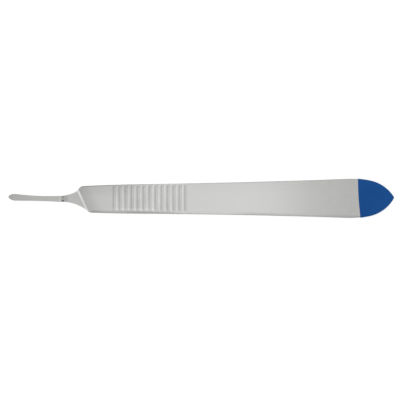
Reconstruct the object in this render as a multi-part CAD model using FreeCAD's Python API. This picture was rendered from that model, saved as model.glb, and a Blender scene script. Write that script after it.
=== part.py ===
import FreeCAD, Part
import math
import os

# A stainless steel scalpel handle for small fitted blades, with a blue coat on its end.
# Millimetres. It lies on one of its broad faces. X runs from the blade end to the coated
# end, Y across the width, Z up. The origin is at the middle of the length and the width,
# on the surface that the handle lies on.
# A station is a distance along X from the nose of the blade tongue.

# Overall sizes
overall_length = 125.0
body_thickness = 2.4
edge_round = 0.35

# Half widths of the body
grip_start_half_width = 4.65
grip_half_width = 4.82
widest_half_width = 6.36

# Pointed end, each side of it two arcs that meet in a small round at the tip
arch_shallow_radius = 30.0
arch_shallow_turn = 12.2
arch_tight_radius = 11.72
tip_round = 0.6
tip_offset = 0.2

# Blade tongue seen from above: the offset of its middle line and its half width at three places
nose_length = 2.2
nose_offset = 0.66
nose_tip_offset = 0.86
nose_half_width = 1.08
nose_upper_round = 0.5
nose_lower_round = 0.75
slim_station = 12.0
slim_offset = 0.205
slim_half_width = 0.81
tongue_length = 17.0
root_offset = 0.115
root_half_width = 0.96

# Blade seat: it flares from the tongue's root to the two corners of the slanted shoulder
upper_flare_length = 5.17
upper_flare_end = 2.62
upper_flare_radius = 11.6
lower_flare_length = 9.3
lower_flare_end = 4.40
lower_flare_radius = 13.5
shoulder_foot_length = 7.87
shoulder_bevel_run = 0.8
lower_corner_round = 2.5
upper_corner_length = 6.4
upper_corner_half_width = 4.23
upper_corner_round = 2.2

# Heights above the underside of the steel
seat_height = 1.25
shoulder_wall_top = 1.8
seat_underside = 0.45
underside_bevel_run = 0.5
plate_root_length = 1.2
blade_slot_height = 0.50
flange_thickness = 0.45

# Tongue sections
slot_depth = 0.36
nose_ramp_length = 1.4
nose_ramp_drop = 0.22
rear_bevel_length = 0.45
neck_ramp_length = 1.7
neck_ramp_height = 0.35
slot_end_round = 0.22
tongue_edge_bevel = 0.12
flange_edge_bevel = 0.15

# Grip: scooped grooves with ball ends, across both faces
shoulder_to_grip = 10.1
groove_count = 12
groove_pitch = 1.943
groove_land = 0.07
groove_depth = 0.25
groove_upper_margin = 0.42
groove_lower_margin = 0.85
last_groove_depth = 0.08

# Blue coat
coat_thickness = 0.10
coat_length = 11.5
coat_line_lean = 3.6
coat_line_radius = 100.0

# Where the values above put things
steel_length = overall_length - coat_thickness
slot_end = tongue_length + rear_bevel_length
grip_start = tongue_length + upper_corner_length + shoulder_to_grip
grip_end = grip_start + groove_count * groove_pitch
flange_top = seat_height + blade_slot_height + flange_thickness


def place(station, across, height=0.0):
    """A point given by its station, its place across the width and its height."""
    return FreeCAD.Vector(station - overall_length / 2, across, height)


def arc_about(centre, start, end):
    """The arc of less than half a turn about a centre, between two points."""
    radius = (start - centre).Length
    middle = centre + ((start + end) / 2 - centre).normalize() * radius
    return Part.Arc(start, middle, end)


def arc_centre(start, end, radius, side):
    """The centre of an arc of a given radius; side is +1 or -1, for a centre towards +Y or -Y."""
    chord = end - start
    across = FreeCAD.Vector(-chord.y, chord.x, 0).normalize()
    if across.y * side < 0:
        across = -across
    return (start + end) / 2 + across * math.sqrt(radius ** 2 - (chord.Length / 2) ** 2)


def tangent_arc(start, direction, end):
    """The arc that leaves one point in a given direction and ends at another point."""
    chord = end - start
    across = FreeCAD.Vector(-direction.y, direction.x, 0)
    centre = start + across * (chord.Length ** 2 / (2 * chord.dot(across)))
    return arc_about(centre, start, end)


def joining_arc(start, outward, centre, radius):
    """The arc that leaves a point at right angles to a direction and runs smoothly onto a circle."""
    reach = start - centre
    own_radius = (reach.Length ** 2 - radius ** 2) / (2 * (radius - outward.dot(reach)))
    own_centre = start + outward * own_radius
    touch = (own_centre - centre).normalize() * math.copysign(radius, own_radius)
    return arc_about(own_centre, start, centre + touch)


def corner_arc(before, corner, after, radius):
    """The arc that rounds the corner between two straight lines."""
    back = (before - corner).normalize()
    onward = (after - corner).normalize()
    half_angle = back.getAngle(onward) / 2
    reach = radius / math.tan(half_angle)
    centre = corner + (back + onward).normalize() * (radius / math.sin(half_angle))
    return arc_about(centre, corner + back * reach, corner + onward * reach)


def prism(edges, bottom, top):
    """The solid over a closed outline, between two heights."""
    face = Part.Face(Part.Wire(Part.__sortEdges__(edges)))
    face.translate(FreeCAD.Vector(0, 0, bottom))
    return face.extrude(FreeCAD.Vector(0, 0, top - bottom))


def tongue_outline(inset):
    """The tongue's two long edges and its rounded nose, all moved inwards by the inset."""
    edges = []
    nose_tip = place(inset, nose_tip_offset)
    for side, nose_round in ((1, nose_upper_round), (-1, nose_lower_round)):
        nose_end = place(nose_length, nose_offset + side * (nose_half_width - inset))
        slim = place(slim_station, slim_offset + side * (slim_half_width - inset))
        root = place(tongue_length, root_offset + side * (root_half_width - inset))
        long_edge = Part.Arc(nose_end, slim, root)
        along = long_edge.tangent(long_edge.FirstParameter)[0]
        outward = FreeCAD.Vector(-along.y, along.x, 0) * side
        round_centre = place(nose_round, nose_tip_offset)
        nose_side = joining_arc(nose_end, outward, round_centre, nose_round - inset)
        nose_corner = arc_about(round_centre, nose_side.EndPoint, nose_tip)
        edges += [arc.toShape() for arc in (long_edge, nose_side, nose_corner)]
    return edges


def seat_corners():
    """Where the flared seat's edges start and end, and where the shoulder's foot meets the lower one."""
    upper_root = place(tongue_length, root_offset + root_half_width)
    lower_root = place(tongue_length, root_offset - root_half_width)
    upper_end = place(tongue_length + upper_flare_length, upper_flare_end)
    lower_end = place(tongue_length + lower_flare_length, -lower_flare_end)
    lower_centre = arc_centre(lower_root, lower_end, lower_flare_radius, -1)
    foot = place(tongue_length + shoulder_foot_length, 0)
    foot.y = lower_centre.y + math.sqrt(lower_flare_radius ** 2 - (foot.x - lower_centre.x) ** 2)
    return {
        "upper_root": upper_root,
        "upper_end": upper_end,
        "lower_root": lower_root,
        "lower_centre": lower_centre,
        "lower_end": lower_end,
        "foot": foot,
    }


def seat_outline():
    """The flared seat's upper edge, and its lower edge as far as the shoulder's foot."""
    at = seat_corners()
    upper_centre = arc_centre(at["upper_root"], at["upper_end"], upper_flare_radius, 1)
    upper_edge = arc_about(upper_centre, at["upper_root"], at["upper_end"])
    lower_edge = arc_about(at["lower_centre"], at["lower_root"], at["foot"])
    return [upper_edge.toShape(), lower_edge.toShape()]


def arch_centres(side):
    """The centres of one side's shallow and tight arcs at the pointed end, and of the tip round."""
    turn = math.radians(arch_shallow_turn)
    step = arch_shallow_radius - arch_tight_radius
    tight_across = side * (widest_half_width - arch_shallow_radius + step * math.cos(turn))
    tip = place(steel_length - tip_round, tip_offset)
    back = math.sqrt((arch_tight_radius - tip_round) ** 2 - (tip_offset - tight_across) ** 2)
    tight = FreeCAD.Vector(tip.x - back, tight_across, 0)
    shallow = tight - FreeCAD.Vector(math.sin(turn), side * math.cos(turn), 0) * step
    return shallow, tight, tip


def widest_point(side, grow):
    """Where one side of the body is widest, on the shallow arc of its pointed end."""
    return arch_centres(side)[0] + FreeCAD.Vector(0, side, 0) * (arch_shallow_radius + grow)


def arch_arcs(side, start, grow):
    """The two arcs of one side of the pointed end, from a point on the shallow one to the tip round."""
    shallow, tight, tip = arch_centres(side)
    turn = math.radians(arch_shallow_turn)
    outward = FreeCAD.Vector(math.sin(turn), side * math.cos(turn), 0)
    meeting = shallow + outward * (arch_shallow_radius + grow)
    tip_start = tight + (tip - tight).normalize() * (arch_tight_radius + grow)
    return arc_about(shallow, start, meeting), arc_about(tight, meeting, tip_start)


def side_arcs(side, start, direction):
    """One side of the body: a bulging arc along the grip, then a hollow one up to the pointed end."""
    grip_middle = place((grip_start + grip_end) / 2, side * grip_half_width)
    grip_arc = tangent_arc(start, direction, grip_middle)
    onward = grip_arc.tangent(grip_arc.LastParameter)[0]
    outward = FreeCAD.Vector(-onward.y, onward.x, 0) * side
    return [grip_arc, joining_arc(grip_middle, outward, arch_centres(side)[0], arch_shallow_radius)]


def pointed_end(starts, grow):
    """The pointed end's outline, from a starting point on one side to one on the other."""
    edges = []
    tip_starts = []
    for side, start in zip((1, -1), starts):
        shallow_arc, tight_arc = arch_arcs(side, start, grow)
        edges += [shallow_arc.toShape(), tight_arc.toShape()]
        tip_starts.append(tight_arc.EndPoint)
    return edges + [arc_about(arch_centres(1)[2], *tip_starts).toShape()]


def rounded_blank(edges, front, grow):
    """A flat bar over the outline, its long edges rounded, but not the edges of its straight front."""
    blank = prism(edges + [front], -grow, body_thickness + grow)
    long_edges = []
    for edge in blank.Edges:
        is_level = edge.BoundBox.ZLength < edge_round
        from_front = edge.CenterOfMass - front.CenterOfMass
        is_front = math.hypot(from_front.x, from_front.y) < edge_round
        if is_level and not is_front:
            long_edges.append(edge)
    return blank.makeFillet(edge_round + grow, long_edges)


def body_blank():
    """The body behind the shoulder's foot, before the shoulder and the grip are cut."""
    at = seat_corners()
    upper_corner = place(tongue_length + upper_corner_length, upper_corner_half_width)
    corners = [
        (1, at["upper_end"], upper_corner, upper_corner_round),
        (-1, at["foot"], at["lower_end"], lower_corner_round),
    ]
    edges = []
    arch_starts = []
    for side, front_end, corner, radius in corners:
        grip_corner = place(grip_start, side * grip_start_half_width)
        corner_round = corner_arc(front_end, corner, grip_corner, radius)
        first_run = (grip_corner - corner).normalize()
        side_curves = side_arcs(side, corner_round.EndPoint, first_run)
        edges.append(Part.makeLine(front_end, corner_round.StartPoint))
        edges += [curve.toShape() for curve in [corner_round] + side_curves]
        arch_starts.append(side_curves[-1].EndPoint)
    edges += pointed_end(arch_starts, 0)
    return rounded_blank(edges, Part.makeLine(at["foot"], at["upper_end"]), 0)


def shoulder_bevel(start_height, face_height, run):
    """The wedge above or below the shoulder's wall, up to a broad face, to be cut off the body."""
    at = seat_corners()
    along = (at["upper_end"] - at["foot"]).normalize()
    rearward = FreeCAD.Vector(along.y, -along.x, 0)
    beyond_face = start_height + 2 * (face_height - start_height)
    profile = [(-run, start_height), (0, start_height), (2 * run, beyond_face), (-run, beyond_face)]
    start = at["foot"] - along * widest_half_width
    points = [start + rearward * back + FreeCAD.Vector(0, 0, height) for back, height in profile]
    wedge = Part.Face(Part.makePolygon(points + points[:1]))
    return wedge.extrude(along * 4 * widest_half_width)


def plate_outline():
    """The tongue and the flared seat seen from above, with a root that runs into the body."""
    at = seat_corners()
    inner_upper = at["upper_end"] + FreeCAD.Vector(plate_root_length, -plate_root_length, 0)
    inner_lower = at["foot"] + FreeCAD.Vector(plate_root_length, plate_root_length, 0)
    root = Part.makePolygon([at["upper_end"], inner_upper, inner_lower, at["foot"]]).Edges
    return tongue_outline(0) + seat_outline() + root


def bevelled_plate(bottom, top, bevelled_face, bevel):
    """The plate's outline as a solid, with the curved edges of its face at one height bevelled."""
    plate = prism(plate_outline(), bottom, top)
    bevelled_edges = []
    for edge in plate.Edges:
        is_level = edge.BoundBox.ZLength < bevel
        is_there = abs(edge.CenterOfMass.z - bevelled_face) < bevel
        is_curved = not isinstance(edge.Curve, Part.Line)
        if is_level and is_there and is_curved:
            bevelled_edges.append(edge)
    return plate.makeChamfer(bevel, bevelled_edges)


def blade_boss():
    """The boss that holds a blade: a flange over a narrower web, with a slot along each side."""
    profile = [
        (-nose_ramp_length, seat_height),
        (-nose_ramp_length, flange_top - 2 * nose_ramp_drop),
        (nose_ramp_length, flange_top),
        (tongue_length, flange_top),
        (slot_end, seat_height + neck_ramp_height),
        (slot_end + neck_ramp_length, seat_height),
    ]
    points = [place(station, -widest_half_width, height) for station, height in profile]
    side_view = Part.Face(Part.makePolygon(points + points[:1]))
    boss = bevelled_plate(seat_height, flange_top, flange_top, flange_edge_bevel)
    boss = boss.common(side_view.extrude(FreeCAD.Vector(0, 2 * widest_half_width, 0)))
    web_half_width = root_half_width - slot_depth
    web_end = [
        place(tongue_length, root_offset + web_half_width),
        place(slot_end + slot_depth, root_offset + web_half_width),
        place(slot_end + slot_depth, root_offset - web_half_width),
        place(tongue_length, root_offset - web_half_width),
    ]
    slot_top = seat_height + blade_slot_height
    web = prism(tongue_outline(slot_depth) + Part.makePolygon(web_end).Edges, seat_height, slot_top)
    slots = Part.makeBox(
        slot_end + nose_ramp_length, 2 * widest_half_width, blade_slot_height,
        place(-nose_ramp_length, -widest_half_width, seat_height)).cut(web)
    ends = []
    for side in (1, -1):
        middle = place(slot_end, root_offset + side * web_half_width, seat_height)
        ends.append(Part.makeCylinder(slot_end_round, flange_top, middle))
    return boss.cut([slots] + ends)


def groove_cutter(station, lower_end, upper_end, radius, height):
    """A bar across the body with a ball at each end, its middle line at the given height."""
    along = FreeCAD.Vector(1, 0, 0)
    start = place(station, lower_end, height)
    end = place(station, upper_end, height)
    bar = Part.makeCylinder(radius, upper_end - lower_end, start, FreeCAD.Vector(0, 1, 0))
    return bar.fuse([Part.makeSphere(radius, start, along), Part.makeSphere(radius, end, along)])


def grip_cutters(body):
    """The grooves of the grip on both broad faces, each as wide as the body leaves room for."""
    full_width = groove_pitch - groove_land
    radius = ((full_width / 2) ** 2 + groove_depth ** 2) / (2 * groove_depth)
    last_width = 2 * math.sqrt(2 * radius * last_groove_depth - last_groove_depth ** 2)
    grooves = []
    for number in range(groove_count):
        grooves.append((grip_start + (number + 0.5) * groove_pitch, full_width, groove_depth))
    grooves.append((grip_end + (groove_land + last_width) / 2, last_width, last_groove_depth))
    cutters = []
    for station, width, depth in grooves:
        section = body.slice(FreeCAD.Vector(1, 0, 0), place(station, 0).x)
        half_width = max(wire.BoundBox.YMax for wire in section)
        upper_end = half_width - groove_upper_margin - width / 2
        lower_end = groove_lower_margin + width / 2 - half_width
        for height in (depth - radius, body_thickness + radius - depth):
            cutters.append(groove_cutter(station, lower_end, upper_end, radius, height))
    return cutters


def steel_handle():
    """The whole handle in one piece of steel."""
    body = body_blank()
    body = body.cut([
        shoulder_bevel(shoulder_wall_top, body_thickness, shoulder_bevel_run),
        shoulder_bevel(seat_underside, 0, underside_bevel_run),
    ] + grip_cutters(body))
    seat_plate = bevelled_plate(seat_underside, seat_height, seat_underside, tongue_edge_bevel)
    return body.fuse([seat_plate, blade_boss()])


def end_coat():
    """The coat on the pointed end: a shell on the steel, with its edge along the dip line."""
    ends = [widest_point(side, coat_thickness) for side in (1, -1)]
    coated = rounded_blank(pointed_end(ends, coat_thickness), Part.makeLine(*ends), coat_thickness)
    lean = math.radians(coat_line_lean)
    coat_start = place(overall_length - coat_length, 0, -coat_thickness)
    dip_centre = coat_start + FreeCAD.Vector(math.cos(lean), math.sin(lean), 0) * coat_line_radius
    dipped = Part.makeCylinder(coat_line_radius, body_thickness + 2 * coat_thickness, dip_centre)
    return coated.common(dipped).cut(body_blank())


nodes = {
    "handle": steel_handle(),
    "end_coat": end_coat(),
}
os.makedirs("parts", exist_ok=True)
for name, shape in nodes.items():
    shape.translate(FreeCAD.Vector(0, 0, coat_thickness))
    shape.exportStep("parts/" + name + ".step")
    print(name, "valid", shape.isValid(), "solids", len(shape.Solids), "faces", len(shape.Faces),
          "volume", round(shape.Volume, 2), "box", shape.BoundBox)
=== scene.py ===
# %% [markdown]
# A scalpel handle seen from above, dressed and lit in Blender
#
# The handle's shape is already made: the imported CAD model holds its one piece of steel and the
# blue coat on its pointed end. This lesson doesn't model anything again. It shows how far
# materials and light alone can take a plain metal object, which is most of the work in a picture
# of a polished tool.

# %% Load the frame
import math
import bpy
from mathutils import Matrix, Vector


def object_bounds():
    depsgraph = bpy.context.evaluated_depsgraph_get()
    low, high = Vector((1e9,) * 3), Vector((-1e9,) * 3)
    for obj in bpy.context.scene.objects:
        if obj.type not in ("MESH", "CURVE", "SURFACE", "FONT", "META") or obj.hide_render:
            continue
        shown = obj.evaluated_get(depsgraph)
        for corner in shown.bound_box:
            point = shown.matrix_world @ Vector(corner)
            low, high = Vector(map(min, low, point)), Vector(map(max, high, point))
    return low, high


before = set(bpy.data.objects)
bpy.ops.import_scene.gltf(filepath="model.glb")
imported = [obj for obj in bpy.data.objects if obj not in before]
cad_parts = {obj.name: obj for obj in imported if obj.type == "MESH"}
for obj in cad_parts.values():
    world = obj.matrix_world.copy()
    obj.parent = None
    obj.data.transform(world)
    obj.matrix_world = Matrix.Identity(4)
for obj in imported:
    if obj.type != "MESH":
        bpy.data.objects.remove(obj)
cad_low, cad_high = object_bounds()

MM = 0.001
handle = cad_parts["handle"]
end_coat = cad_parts["end_coat"]
print("handle and coat, in millimetres:", [round(side / MM, 2) for side in cad_high - cad_low])

# %% [markdown]
# ## The camera
#
# The photograph looks straight down on the handle. A long lens far away keeps the two ends from
# leaning outwards, so the outline is nearly the same as on a drawing. The handle rises a little
# to the right in the picture, and the simplest way to get that is to turn the camera, not the
# handle, because the CAD model must stay where it is.

# %% Camera above the handle
PICTURE_PIXELS = 400
PIXELS_PER_MM = 3.088
SENSOR_WIDTH_MM = 36.0
LENS_MM = 120.0
CAMERA_MIDDLE_MM = (-0.39, -0.385)
PICTURE_TILT_DEG = 0.158

seen_width = PICTURE_PIXELS / PIXELS_PER_MM * MM
camera_height = cad_high.z + seen_width * LENS_MM / SENSOR_WIDTH_MM
camera_data = bpy.data.cameras.new("overhead_camera")
camera_data.sensor_width = SENSOR_WIDTH_MM
camera_data.lens = LENS_MM
camera_data.clip_start = 0.01
camera_data.clip_end = 20.0
camera = bpy.data.objects.new("overhead_camera", camera_data)
camera.location = (CAMERA_MIDDLE_MM[0] * MM, CAMERA_MIDDLE_MM[1] * MM, camera_height)
camera.rotation_euler = (0, 0, -math.radians(PICTURE_TILT_DEG))
bpy.context.scene.collection.objects.link(camera)
bpy.context.scene.camera = camera
bpy.context.scene.view_settings.view_transform = "Standard"
print("camera height", round(camera_height, 4), "m, width seen", round(seen_width, 4), "m")

# %% [markdown]
# ## Helpers for node trees
#
# A procedural material is a small graph of nodes. Building it in code gets wordy, so a few short
# helpers do the repeated work. The first adds a node and fills in its inputs, whether they are
# plain values or links from another node. The others do arithmetic, map a number from one range
# to another, look a number up along a curve, and mark a band between two places. A noise texture
# seldom leaves the middle of its range, so the part it really uses is given a name as well.

# %% Node helpers
def add_node(tree, kind, inputs=None, **settings):
    """Adds a node, sets its options and its inputs, and returns it."""
    node = tree.nodes.new(kind)
    for name, value in settings.items():
        setattr(node, name, value)
    for name, value in (inputs or {}).items():
        if isinstance(value, bpy.types.NodeSocket):
            tree.links.new(value, node.inputs[name])
        else:
            node.inputs[name].default_value = value
    return node


def math_node(tree, operation, first, second=0.0):
    """One sum, product or other step of arithmetic, as a socket."""
    step = add_node(tree, "ShaderNodeMath", {0: first, 1: second}, operation=operation)
    return step.outputs[0]


def remap(tree, value, start, end, low, high, smooth=False):
    """Maps a number from start..end to low..high, held at both ends."""
    kind = "SMOOTHSTEP" if smooth else "LINEAR"
    step = add_node(tree, "ShaderNodeMapRange", {0: value, 1: start, 2: end, 3: low, 4: high},
                    interpolation_type=kind, clamp=True)
    return step.outputs[0]


def blend(tree, amount, first, second):
    """Goes from one number to another as the amount goes from 0 to 1."""
    step = add_node(tree, "ShaderNodeMix", {0: amount, 2: first, 3: second}, data_type="FLOAT")
    return step.outputs[0]


def curve_node(tree, value, points):
    """A smooth curve through a few points, as a socket: the value is looked up along it."""
    step = add_node(tree, "ShaderNodeFloatCurve", {"Value": value})
    step.mapping.use_clip = False
    curve = step.mapping.curves[0]
    for position, level in points[1:-1]:
        curve.points.new(position, level)
    for point, (position, level) in zip(curve.points, points):
        point.location = (position, level)
        point.handle_type = "AUTO_CLAMPED"
    step.mapping.update()
    return step.outputs[0]


def band(tree, value, start, end, rise, fall):
    """Is 1 from start to end, grows from 0 over the rise before it and fades over the fall after."""
    grown = remap(tree, value, start - rise, start, 0.0, 1.0)
    left = remap(tree, value, end, end + fall, 1.0, 0.0)
    return math_node(tree, "MULTIPLY", grown, left)


def shade_where(tree, shade, where, level):
    """Multiplies a shade by a level where the mask is 1, and leaves it alone where it is 0."""
    return math_node(tree, "MULTIPLY", shade, blend(tree, where, 1.0, level))


NOISE_RANGE = (0.3, 0.7)
print("helpers ready, noise is taken to run from", NOISE_RANGE[0], "to", NOISE_RANGE[1])

# %% [markdown]
# ## The floor
#
# The handle lies on plain white. A floor that is only painted white would come out light grey,
# because no paint gives back all the light that falls on it. Here a good part of the white is
# ordinary paint, which lets the handle's soft shadow show, and a glow is added for the camera and
# for reflections. That glow lights nothing else in the scene.
#
# The floor lies a hair below the handle's underside. Two faces in exactly the same plane flicker
# where they meet.

# %% White floor
FLOOR_SIZE = 3.0
FLOOR_LEVEL_MM = -0.02
FLOOR_PAINT = 0.60
FLOOR_PAINT_CHANGE = 0.01
FLOOR_ROUGHNESS = 0.6
FLOOR_CLOUDS_PER_M = 6.0
FLOOR_GLOW = 0.72
FLOOR_GLOW_IN_METAL = 0.25

bpy.ops.mesh.primitive_plane_add(size=FLOOR_SIZE, location=(0, 0, FLOOR_LEVEL_MM * MM))
floor = bpy.context.object
floor.name = "white_floor"
floor_paint = bpy.data.materials.new("white_floor_paint")
floor_paint.use_nodes = True
tree = floor_paint.node_tree
tree.nodes.clear()
paint_grain = add_node(tree, "ShaderNodeTexNoise", {"Scale": FLOOR_CLOUDS_PER_M, "Detail": 2.0})
paint_shade = remap(tree, paint_grain.outputs[0], *NOISE_RANGE,
                    FLOOR_PAINT - FLOOR_PAINT_CHANGE, FLOOR_PAINT)
paint = add_node(tree, "ShaderNodeBsdfDiffuse", {"Color": paint_shade, "Roughness": FLOOR_ROUGHNESS})
rays = add_node(tree, "ShaderNodeLightPath")
seen = math_node(tree, "MAXIMUM", rays.outputs["Is Camera Ray"], rays.outputs["Is Transmission Ray"])
seen = math_node(tree, "MULTIPLY", seen, FLOOR_GLOW)
mirrored = math_node(tree, "MULTIPLY", rays.outputs["Is Glossy Ray"], FLOOR_GLOW_IN_METAL)
glow = add_node(tree, "ShaderNodeEmission",
                {"Color": (1, 1, 1, 1), "Strength": math_node(tree, "ADD", seen, mirrored)})
both = add_node(tree, "ShaderNodeAddShader", {0: paint.outputs[0], 1: glow.outputs[0]})
add_node(tree, "ShaderNodeOutputMaterial", {"Surface": both.outputs[0]})
floor.data.materials.append(floor_paint)
print("floor", FLOOR_SIZE, "m square, paint", FLOOR_PAINT, "and glow", FLOOR_GLOW)

# %% [markdown]
# ## The light
#
# Bare metal has no colour of its own to show: what is seen is the room, blurred by the finish.
# So the room is designed first. It is a studio tent, given by one formula in the world's nodes.
# The handle is long and the camera is close enough that its flat face mirrors a different part of
# the ceiling at each place: the left end looks a little to the left, the right end to the right.
# A ceiling that is bright in the middle and dimmer on both sides of it gives the soft fall of
# light towards the two ends.
#
# Further out the left wall is brighter than the right one. The grooves of the grip are hollow, so
# each one mirrors the whole room from right to left, and shows a grey half and a bright half.
# A second curve darkens the room low in front and low behind. The rounded long edges of the
# handle mirror those two places, and that draws the thin dark line along each edge.
#
# The camera sees none of this: to it the room is plain white, like the floor.

# %% Studio tent
CEILING_BY_DIRECTION = [
    (-1.00, 0.99),
    (-0.55, 0.92),
    (-0.35, 0.85),
    (-0.20, 0.68),
    (-0.14, 0.66),
    (-0.092, 0.63),
    (-0.060, 0.99),
    (0.000, 0.945),
    (0.030, 1.00),
    (0.061, 1.19),
    (0.073, 0.65),
    (0.11, 0.645),
    (0.25, 0.64),
    (0.60, 0.73),
    (1.00, 0.76),
]
WALLS_FRONT_TO_BACK = [
    (-1.00, 0.50),
    (-0.85, 0.62),
    (-0.65, 0.88),
    (-0.10, 1.00),
    (0.50, 1.02),
    (0.80, 1.00),
    (1.00, 0.55),
]

world = bpy.data.worlds.new("studio_tent")
bpy.context.scene.world = world
world.use_nodes = True
tree = world.node_tree
tree.nodes.clear()
direction = add_node(tree, "ShaderNodeTexCoord").outputs["Generated"]
axes = add_node(tree, "ShaderNodeSeparateXYZ", {0: direction})
ceiling = curve_node(tree, axes.outputs["X"], CEILING_BY_DIRECTION)
walls = curve_node(tree, axes.outputs["Y"], WALLS_FRONT_TO_BACK)
strength = math_node(tree, "MULTIPLY", ceiling, walls)
to_camera = add_node(tree, "ShaderNodeLightPath").outputs["Is Camera Ray"]
strength = blend(tree, to_camera, strength, 1.0)
tent = add_node(tree, "ShaderNodeBackground", {"Color": (1, 1, 1, 1), "Strength": strength})
add_node(tree, "ShaderNodeOutputWorld", {"Surface": tent.outputs[0]})
print("ceiling given at", len(CEILING_BY_DIRECTION), "directions")

# %% [markdown]
# ## Satin steel
#
# The handle is hardened stainless steel that has been ground and then finished with a fine
# abrasive. At this distance the scratches are too fine to be seen one by one. What remains is a
# satin sheen, a faint lengthwise streak, and small cloudy differences in how rough the surface
# is.
#
# Several marks sit at known places, some of them of the finish and most of them painted shade and
# painted highlights, so the material first needs to know where on the handle it is. The object
# coordinates are turned into millimetres, the unit in which such an instrument is drawn.

# %% Places on the handle in millimetres
steel = bpy.data.materials.new("satin_steel")
steel.use_nodes = True
tree = steel.node_tree
tree.nodes.clear()
place = add_node(tree, "ShaderNodeTexCoord").outputs["Object"]
scaled = add_node(tree, "ShaderNodeVectorMath", {0: place, "Scale": 1 / MM}, operation="SCALE")
place_mm = scaled.outputs[0]
parts_mm = add_node(tree, "ShaderNodeSeparateXYZ", {0: place_mm})
x_mm, y_mm = parts_mm.outputs["X"], parts_mm.outputs["Y"]
print("the handle's own origin is at", tuple(handle.matrix_world.translation))

# %% [markdown]
# Noise that is stretched along the handle gives the streaks, ordinary noise gives the clouds, and
# both act on roughness and bump more than on colour. The amounts are tiny. A surface that is
# meant to look clean is easily spoiled by a noise that can be seen as noise.

# %% Streaks and clouds
STREAK_STRETCH = 45.0
STREAKS_PER_MM = 9.0
CLOUDS_PER_MM = 0.42
SHADE_CHANGE = 0.007
ROUGHNESS_CHANGE = 0.012
STEEL_ROUGHNESS = 0.14

streak_space = add_node(tree, "ShaderNodeMapping",
                        {"Vector": place_mm, "Scale": (1 / STREAK_STRETCH, 1, 1)})
streaks = add_node(tree, "ShaderNodeTexNoise",
                   {"Vector": streak_space.outputs[0], "Scale": STREAKS_PER_MM, "Detail": 3.0})
streaks = streaks.outputs[0]
clouds = add_node(tree, "ShaderNodeTexNoise",
                  {"Vector": place_mm, "Scale": CLOUDS_PER_MM, "Detail": 4.0}).outputs[0]
shade, rough = 1.0, STEEL_ROUGHNESS
for noise in (streaks, clouds):
    noise_shade = remap(tree, noise, *NOISE_RANGE, 1 - SHADE_CHANGE, 1 + SHADE_CHANGE)
    noise_rough = remap(tree, noise, *NOISE_RANGE, -ROUGHNESS_CHANGE, ROUGHNESS_CHANGE)
    shade = math_node(tree, "MULTIPLY", shade, noise_shade)
    rough = math_node(tree, "ADD", rough, noise_rough)
print("roughness about", STEEL_ROUGHNESS)

# %% [markdown]
# ## The broken edge
#
# The lower edge has been eased by hand, a little wider than the rounding that the CAD model has
# all round: most along the grip, hardly at all behind it, and again towards the coat. It shows as
# a dark band, because it mirrors the dark front of the room. A bump node can draw such a facet:
# the surface is said to drop away steadily outside a line, and the shading tilts there, while the
# outline stays as it is.
#
# A curve node holds the body's half width at a few places along the handle. Half width less the
# distance from the middle line is how far a point lies inside the edge. A second curve says how
# steeply the facet drops at each place.

# %% Broken lower edge
HALF_WIDTHS_MM = [
    (-37, 4.25), (-33, 4.48), (-20, 4.79), (0, 5.05),
    (20, 5.47), (40, 6.09), (49, 6.34),
]
BROKEN_WIDTH_MM = 0.80
BROKEN_SLOPES = [
    (-37, 0), (-35.5, 0.28), (-31, 0.34), (-28, 0.39), (-24, 0.47), (-21, 0.50),
    (-12, 0.47), (-5, 0.10), (6, 0.06), (16, 0.38), (49, 0.40),
]

half_width = curve_node(tree, x_mm, HALF_WIDTHS_MM)
inside_edge = math_node(tree, "SUBTRACT", half_width, math_node(tree, "ABSOLUTE", y_mm))
outside_line = math_node(tree, "MAXIMUM", math_node(tree, "SUBTRACT", BROKEN_WIDTH_MM, inside_edge), 0.0)
slope = curve_node(tree, x_mm, BROKEN_SLOPES)
slope = math_node(tree, "MULTIPLY", slope, math_node(tree, "LESS_THAN", y_mm, 0.0))
drop = math_node(tree, "MULTIPLY", slope, outside_line)
broken_edge = add_node(tree, "ShaderNodeBump",
                       {"Height": math_node(tree, "MULTIPLY", drop, -1.0), "Strength": 1.0, "Distance": MM})
print("broken edge", BROKEN_WIDTH_MM, "mm wide")

# %% [markdown]
# The upper edge gets a much thinner dark line of painted shade. It is strongest in front of the grip
# and along its first grooves, and faint from there to the coat. A slightly darker colour draws it,
# with a curve that says how dark it is at each place.

# %% Painted shade on the upper edge
EDGE_SHADE_WIDTH_MM = 0.45
EDGE_SHADE_FULL_AT = 0.7
EDGE_PAINTED_SHADES = [
    (-42, 0.87), (-24, 0.88), (-14, 0.96), (-4, 0.97),
    (10, 0.96), (22, 0.92), (49, 0.96),
]

painted_shade = remap(tree, inside_edge, EDGE_SHADE_WIDTH_MM, EDGE_SHADE_FULL_AT * EDGE_SHADE_WIDTH_MM, 0.0, 1.0)
painted_shade = math_node(tree, "MULTIPLY", painted_shade, math_node(tree, "GREATER_THAN", y_mm, 0.0))
shade = shade_where(tree, shade, painted_shade, curve_node(tree, x_mm, EDGE_PAINTED_SHADES))
print("dull edge", EDGE_SHADE_WIDTH_MM, "mm wide")

# %% [markdown]
# In front of the grip the whole upper half of the face is painted a little darker too, and behind
# the grip its upper part a trace: painted shade in both places. Each shade comes in softly across
# the width. It is given by where it starts and is full across, its two ends along the handle, how
# softly it comes and goes there, and its level.

# %% Painted shade on the upper half
PAINTED_UPPER_SHADES_MM = {
    "front": ((0.5, 3.0), (-39.0, -24.0), (2.0, 4.0), 0.92),
    "rear": ((1.0, 5.0), (-2.0, 36.0), (4.0, 8.0), 0.965),
}

for across, along, fades, level in PAINTED_UPPER_SHADES_MM.values():
    upper_half = math_node(tree, "MULTIPLY", remap(tree, y_mm, *across, 0.0, 1.0),
                           band(tree, x_mm, *along, *fades))
    shade = shade_where(tree, shade, upper_half, level)
print("dull upper half:", ", ".join(PAINTED_UPPER_SHADES_MM))
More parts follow.
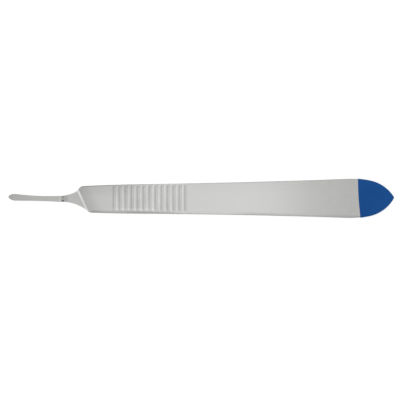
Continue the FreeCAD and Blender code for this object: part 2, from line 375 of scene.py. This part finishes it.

# %% [markdown]
# ## Uneven grooves
#
# The grooves of the grip were ground one after another, so no two of them shine quite alike. A
# coarse noise that changes from groove to groove, and only a little along each one, varies the
# shade inside the grip. The rear half of the grip is painted a little brighter, a painted
# highlight. So are the lower ends of the first grooves, a painted highlight too. That patch is
# given across and along, each time by its two ends and how softly it comes and goes.

# %% Uneven grooves
GRIP_MM = (-29.0, -5.5)
GRIP_FADE_MM = 0.5
GROOVE_NOISE_PER_MM = 0.7
ALONG_ONE_GROOVE = 0.35
GROOVE_CHANGE = 0.045
GRIP_HIGHLIGHT_FROM_MM = -15.0
GRIP_HIGHLIGHT_RISE_MM = 5.0
GRIP_PAINTED_HIGHLIGHT = 1.06
ENDS_HIGHLIGHT_INSIDE_MM = (1.25, 1.45, 0.30, 0.60)
ENDS_HIGHLIGHT_ALONG_MM = (-28.5, -17.5, 0.5, 4.0)
ENDS_PAINTED_HIGHLIGHT = 1.12

groove_space = add_node(tree, "ShaderNodeMapping",
                        {"Vector": place_mm, "Scale": (1.0, ALONG_ONE_GROOVE, 0.0)})
groove_noise = add_node(tree, "ShaderNodeTexNoise",
                        {"Vector": groove_space.outputs[0], "Scale": GROOVE_NOISE_PER_MM, "Detail": 2.0})
groove_shade = remap(tree, groove_noise.outputs[0], *NOISE_RANGE, 1 - GROOVE_CHANGE, 1 + GROOVE_CHANGE)
in_grip = band(tree, x_mm, *GRIP_MM, GRIP_FADE_MM, GRIP_FADE_MM)
rear_grip_highlight = band(tree, x_mm, GRIP_HIGHLIGHT_FROM_MM, GRIP_MM[1], GRIP_HIGHLIGHT_RISE_MM, GRIP_FADE_MM)
shade = shade_where(tree, shade, in_grip, groove_shade)
shade = shade_where(tree, shade, rear_grip_highlight, GRIP_PAINTED_HIGHLIGHT)
lower_end_highlight = band(tree, inside_edge, *ENDS_HIGHLIGHT_INSIDE_MM)
lower_end_highlight = math_node(tree, "MULTIPLY", lower_end_highlight, math_node(tree, "LESS_THAN", y_mm, 0.0))
lower_end_highlight = math_node(tree, "MULTIPLY", lower_end_highlight, band(tree, x_mm, *ENDS_HIGHLIGHT_ALONG_MM))
shade = shade_where(tree, shade, lower_end_highlight, ENDS_PAINTED_HIGHLIGHT)
print("grip from", GRIP_MM[0], "to", GRIP_MM[1], "mm")

# %% [markdown]
# ## Painted shade and highlight near the shoulder
#
# Behind the slanted shoulder the face is painted a little darker, a painted shade that fades out
# over a few millimetres. In the corner in front of the shoulder a thin dark line of painted shade
# is drawn. The bevel between the two gets a painted highlight, strongest at its upper end. All
# three follow the shoulder's line, so the distance behind that line is worked out once, as a dot
# product, and used for each.

# %% Painted shade and highlight at the shoulder
SHOULDER_TOP_MM = (-40.33, 2.62)
SHOULDER_LEAN_DEG = 24.7
SHOULDER_BEVEL_MM = 0.80
FACE_PAINTED_SHADE = 0.82
FACE_SHADE_ENDS_MM = 5.0
FACE_SHADE_FADE_MM = 0.05
BEVEL_FADES_MM = (0.02, 0.05)
BEVEL_HIGHLIGHT_RISE_MM = (0.2, 1.4)
BEVEL_HIGHLIGHTS = (1.04, 1.16)
CORNER_MM = (-0.15, -0.02)
CORNER_FADES_MM = (0.25, 0.02)
CORNER_PAINTED_SHADE = 0.86

lean = math.radians(SHOULDER_LEAN_DEG)
rearward = (math.cos(lean), math.sin(lean), 0.0)
from_top = add_node(tree, "ShaderNodeVectorMath",
                    {0: place_mm, 1: (*SHOULDER_TOP_MM, 0.0)}, operation="SUBTRACT").outputs[0]
behind = add_node(tree, "ShaderNodeVectorMath",
                  {0: from_top, 1: rearward}, operation="DOT_PRODUCT").outputs["Value"]
behind_shoulder_shade = remap(tree, behind, SHOULDER_BEVEL_MM, FACE_SHADE_ENDS_MM, FACE_PAINTED_SHADE, 1.0)
on_face = remap(tree, behind, SHOULDER_BEVEL_MM - FACE_SHADE_FADE_MM, SHOULDER_BEVEL_MM, 0.0, 1.0)
on_bevel = band(tree, behind, 0.0, SHOULDER_BEVEL_MM - FACE_SHADE_FADE_MM, *BEVEL_FADES_MM)
bevel_highlight = remap(tree, y_mm, *BEVEL_HIGHLIGHT_RISE_MM, *BEVEL_HIGHLIGHTS)
in_corner = band(tree, behind, *CORNER_MM, *CORNER_FADES_MM)
shade = shade_where(tree, shade, on_face, behind_shoulder_shade)
shade = shade_where(tree, shade, on_bevel, bevel_highlight)
shade = shade_where(tree, shade, in_corner, CORNER_PAINTED_SHADE)
print("shoulder leans", SHOULDER_LEAN_DEG, "degrees")

# %% [markdown]
# ## Pockets at the slot ends
#
# The two slots that hold a blade end in small drilled rounds behind the tongue. They are narrow
# and catch no light. Two soft spots of darkness, each measured from the middle of its round,
# stand for the shade inside them.
#
# Three bands lie across the handle there. The tongue's last stretch and the small step behind it
# get a painted highlight, and the neck behind the pockets gets painted shade. Each band is given by
# its two ends, how softly it comes and goes, and its shade.

# %% Pockets and bands
POCKETS_MM = [
    ((-44.92, 0.66, 0.0), 0.42, 0.50),
    ((-44.91, -0.53, 0.0), 0.43, 0.05),
]
POCKET_CORE = 0.35
# Painted highlights on the tongue's end and on the step, and painted shade on the neck.
BANDS_ACROSS_MM = {
    "painted highlight on the end": (-45.85, -45.54, 0.15, 0.04, 1.14),
    "painted highlight on the step": (-45.50, -45.10, 0.04, 0.05, 1.50),
    "dull neck": (-44.90, -44.60, 0.20, 1.70, 0.90),
}

flat_place = add_node(tree, "ShaderNodeVectorMath",
                      {0: place_mm, 1: (1, 1, 0)}, operation="MULTIPLY").outputs[0]
for middle, pocket_radius, pocket_shade in POCKETS_MM:
    away = add_node(tree, "ShaderNodeVectorMath", {0: flat_place, 1: middle}, operation="DISTANCE")
    pocket = remap(tree, away.outputs["Value"], POCKET_CORE * pocket_radius, pocket_radius,
                   pocket_shade, 1.0, smooth=True)
    shade = math_node(tree, "MULTIPLY", shade, pocket)
for start, end, rise, fall, level in BANDS_ACROSS_MM.values():
    shade = shade_where(tree, shade, band(tree, x_mm, start, end, rise, fall), level)
print(len(POCKETS_MM), "pockets and bands:", ", ".join(BANDS_ACROSS_MM))

# %% [markdown]
# ## Painted shade on the nose
#
# The nose of the tongue goes first into every blade. Its slanted end is painted clearly darker than
# the rest, a painted shade, and behind it the tongue gets brighter only slowly.

# %% Painted shade on the nose
NOSE_ENDS_MM, NOSE_PAINTED_SHADE = -61.05, 0.74
NOSE_FADE_MM = 0.1
FORE_ENDS_MM, FORE_PAINTED_SHADE = -54.0, 0.93

on_nose = remap(tree, x_mm, NOSE_ENDS_MM - NOSE_FADE_MM, NOSE_ENDS_MM + NOSE_FADE_MM, 1.0, 0.0)
on_fore = remap(tree, x_mm, NOSE_ENDS_MM, FORE_ENDS_MM, 1.0, 0.0)
shade = shade_where(tree, shade, on_nose, NOSE_PAINTED_SHADE)
shade = shade_where(tree, shade, on_fore, FORE_PAINTED_SHADE)
print("nose ends at", NOSE_ENDS_MM, "mm")

# %% [markdown]
# ## The metal itself
#
# Everything meets in one metal shader. The base colour of a metal is the colour of its mirror
# image, here a grey with a trace of warmth. The scratches' own bump is laid over the broken edge.

# %% Steel finish
STEEL_TINT = (0.648, 0.650, 0.636)
GRAIN_STRENGTH = 0.04
GRAIN_DEPTH_MM = 0.01

# The shade scales the tint: random tone, and all the painted shade and painted highlights above.
tint = add_node(tree, "ShaderNodeVectorMath", {0: STEEL_TINT, "Scale": shade}, operation="SCALE")
grain = add_node(tree, "ShaderNodeBump",
                 {"Height": streaks, "Strength": GRAIN_STRENGTH, "Distance": GRAIN_DEPTH_MM * MM,
                  "Normal": broken_edge.outputs[0]})
metal = add_node(tree, "ShaderNodeBsdfPrincipled",
                 {"Base Color": tint.outputs[0], "Roughness": rough, "Metallic": 1.0,
                  "Normal": grain.outputs[0]})
add_node(tree, "ShaderNodeOutputMaterial", {"Surface": metal.outputs[0]})
for slot in handle.material_slots:
    slot.material = steel
print("steel on", len(handle.material_slots), "slot of the handle")

# %% [markdown]
# ## The blue coat
#
# The pointed end was dipped in a thin coloured coat, a tenth of a millimetre thick, that marks
# the instrument. It is smooth, even and nearly matt. Its colour varies only a little where the
# coat is thicker or thinner, and its surface has the very fine texture of a dried film.

# %% Coat finish
COAT_BLUE = (0.009, 0.092, 0.335)
COAT_DEEP_BLUE = (0.008, 0.083, 0.305)
COAT_ROUGHNESS = (0.46, 0.55)
COAT_SHINE = 0.1
POOLS_PER_M = 160.0
POOL_RANGE = (0.35, 0.65)
FILM_GRAINS_PER_M = 3500.0
FILM_STRENGTH = 0.12
FILM_DEPTH_MM = 0.02

coat = bpy.data.materials.new("blue_dipped_coat")
coat.use_nodes = True
tree = coat.node_tree
tree.nodes.clear()
place = add_node(tree, "ShaderNodeTexCoord").outputs["Object"]
pools = add_node(tree, "ShaderNodeTexNoise", {"Vector": place, "Scale": POOLS_PER_M, "Detail": 2.0})
film = add_node(tree, "ShaderNodeTexNoise", {"Vector": place, "Scale": FILM_GRAINS_PER_M, "Detail": 3.0})
depth = remap(tree, pools.outputs[0], *POOL_RANGE, 0.0, 1.0, smooth=True)
blue = add_node(tree, "ShaderNodeMix", {"Factor": depth}, data_type="RGBA")
blue.inputs[6].default_value = (*COAT_BLUE, 1)
blue.inputs[7].default_value = (*COAT_DEEP_BLUE, 1)
coat_rough = remap(tree, film.outputs[0], *NOISE_RANGE, *COAT_ROUGHNESS)
texture = add_node(tree, "ShaderNodeBump",
                   {"Height": film.outputs[0], "Strength": FILM_STRENGTH,
                    "Distance": FILM_DEPTH_MM * MM})
plastic = add_node(tree, "ShaderNodeBsdfPrincipled",
                   {"Base Color": blue.outputs[2], "Roughness": coat_rough,
                    "Specular IOR Level": COAT_SHINE, "Normal": texture.outputs[0]})
add_node(tree, "ShaderNodeOutputMaterial", {"Surface": plastic.outputs[0]})
for slot in end_coat.material_slots:
    slot.material = coat
print("blue on", len(end_coat.material_slots), "slot of the coat")

# %% [markdown]
# ## End of the scene
#
# The looks must not change the object's size.

# %% End
print("scene dressed")
